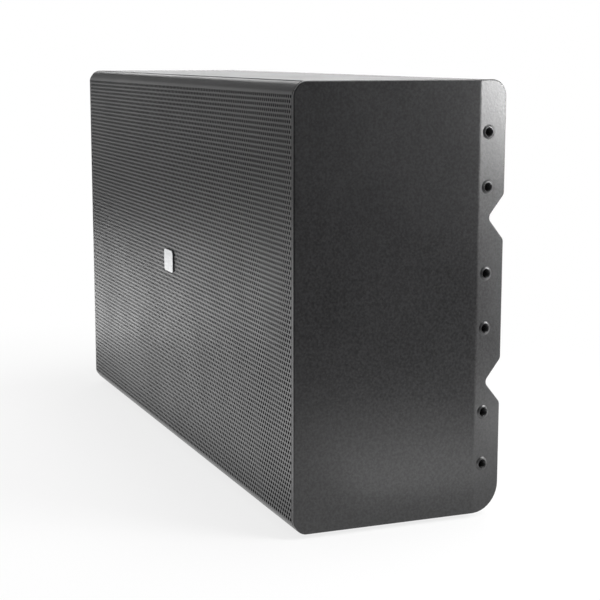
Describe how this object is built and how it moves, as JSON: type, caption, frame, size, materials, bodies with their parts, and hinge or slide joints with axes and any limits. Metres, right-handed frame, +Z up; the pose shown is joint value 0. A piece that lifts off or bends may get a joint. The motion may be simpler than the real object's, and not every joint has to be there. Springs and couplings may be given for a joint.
{
  "type": "line array speaker",
  "caption": "Shallow wide cabinet with a perforated front, bent rigging end plates with V notches, woofers beside a vertical slot waveguide and grip cups at the rear.",
  "frame": {"origin": "centre of the footprint on the plane the feet stand on", "axes": "+Z up, the perforated front faces -Y, the rigging end plates face -X and +X"},
  "size_m": [0.5272, 0.1572, 0.303],
  "materials": {
    "side_plate_paint": "satin black powder coat on steel plate",
    "panel_paint": "satin black structured coat on plywood",
    "baffle_stain": "black stained plywood",
    "grille_paint": "black powder coat on perforated steel sheet",
    "badge_metal": "plain brushed plate",
    "horn_plastic": "moulded black plastic",
    "motor_steel": "zinc plated steel and ferrite",
    "diaphragm_foil": "formed metal foil",
    "basket_casting": "black coated die casting",
    "surround_rubber": "black rubber half roll",
    "foot_rubber": "black rubber",
    "cone_paper": "coated paper pulp",
    "spider_cloth": "resin treated cotton",
    "insert_steel": "zinc plated threaded insert",
    "handle_plastic": "textured black plastic",
    "socket_plastic": "black glass filled plastic",
    "connector_plate_metal": "black anodised plate",
    "circuit_board": "glass fibre circuit board with coils and capacitors"
  },
  "bodies": {
    "cabinet": {"side_plate_right": "side_plate_paint", "side_plate_left": "side_plate_paint", "top_panel": "panel_paint", "bottom_panel": "panel_paint", "front_baffle": "baffle_stain", "rear_panel": "panel_paint", "front_grille": "grille_paint", "grille_badge": "badge_metal", "waveguide": "horn_plastic", "hf_driver_upper": "motor_steel", "hf_driver_lower": "motor_steel", "woofer_basket_upper_right": "basket_casting", "woofer_basket_upper_left": "basket_casting", "woofer_basket_lower_right": "basket_casting", "woofer_basket_lower_left": "basket_casting", "woofer_surround_upper_right": "surround_rubber", "woofer_surround_upper_left": "surround_rubber", "woofer_surround_lower_right": "surround_rubber", "woofer_surround_lower_left": "surround_rubber", "woofer_spider_upper_right": "spider_cloth", "woofer_spider_upper_left": "spider_cloth", "woofer_spider_lower_right": "spider_cloth", "woofer_spider_lower_left": "spider_cloth", "woofer_motor_upper_right": "motor_steel", "woofer_motor_upper_left": "motor_steel", "woofer_motor_lower_right": "motor_steel", "woofer_motor_lower_left": "motor_steel", "rigging_insert_right_1": "insert_steel", "rigging_insert_right_2": "insert_steel", "rigging_insert_right_3": "insert_steel", "rigging_insert_right_4": "insert_steel", "rigging_insert_right_5": "insert_steel", "rigging_insert_right_6": "insert_steel", "rigging_insert_left_1": "insert_steel", "rigging_insert_left_2": "insert_steel", "rigging_insert_left_3": "insert_steel", "rigging_insert_left_4": "insert_steel", "rigging_insert_left_5": "insert_steel", "rigging_insert_left_6": "insert_steel", "input_plate": "connector_plate_metal", "link_socket_right": "socket_plastic", "link_socket_left": "socket_plastic", "crossover_board": "circuit_board", "foot_front_right": "foot_rubber", "foot_front_left": "foot_rubber", "foot_rear_right": "foot_rubber", "foot_rear_left": "foot_rubber", "rear_handle_right": "handle_plastic", "rear_handle_left": "handle_plastic"},
    "cone_upper_right": {"woofer_cone_upper_right": "cone_paper"},
    "cone_upper_left": {"woofer_cone_upper_left": "cone_paper"},
    "cone_lower_right": {"woofer_cone_lower_right": "cone_paper"},
    "cone_lower_left": {"woofer_cone_lower_left": "cone_paper"},
    "diaphragm_upper": {"hf_diaphragm_upper": "diaphragm_foil"},
    "diaphragm_lower": {"hf_diaphragm_lower": "diaphragm_foil"}
  },
  "joints": [
    {"name": "cone_stroke_upper_right", "type": "slide", "parent": "cabinet", "child": "cone_upper_right", "axis": [0, 1, 0], "range_m": [-0.004, 0.004], "stiffness_N_per_m": 1500},
    {"name": "cone_stroke_upper_left", "type": "slide", "parent": "cabinet", "child": "cone_upper_left", "axis": [0, 1, 0], "range_m": [-0.004, 0.004], "stiffness_N_per_m": 1500},
    {"name": "cone_stroke_lower_right", "type": "slide", "parent": "cabinet", "child": "cone_lower_right", "axis": [0, 1, 0], "range_m": [-0.004, 0.004], "stiffness_N_per_m": 1500},
    {"name": "cone_stroke_lower_left", "type": "slide", "parent": "cabinet", "child": "cone_lower_left", "axis": [0, 1, 0], "range_m": [-0.004, 0.004], "stiffness_N_per_m": 1500},
    {"name": "diaphragm_stroke_upper", "type": "slide", "parent": "cabinet", "child": "diaphragm_upper", "axis": [0, 1, 0], "range_m": [-0.0004, 0.0004], "stiffness_N_per_m": 5000},
    {"name": "diaphragm_stroke_lower", "type": "slide", "parent": "cabinet", "child": "diaphragm_lower", "axis": [0, 1, 0], "range_m": [-0.0004, 0.0004], "stiffness_N_per_m": 5000}
  ]
}
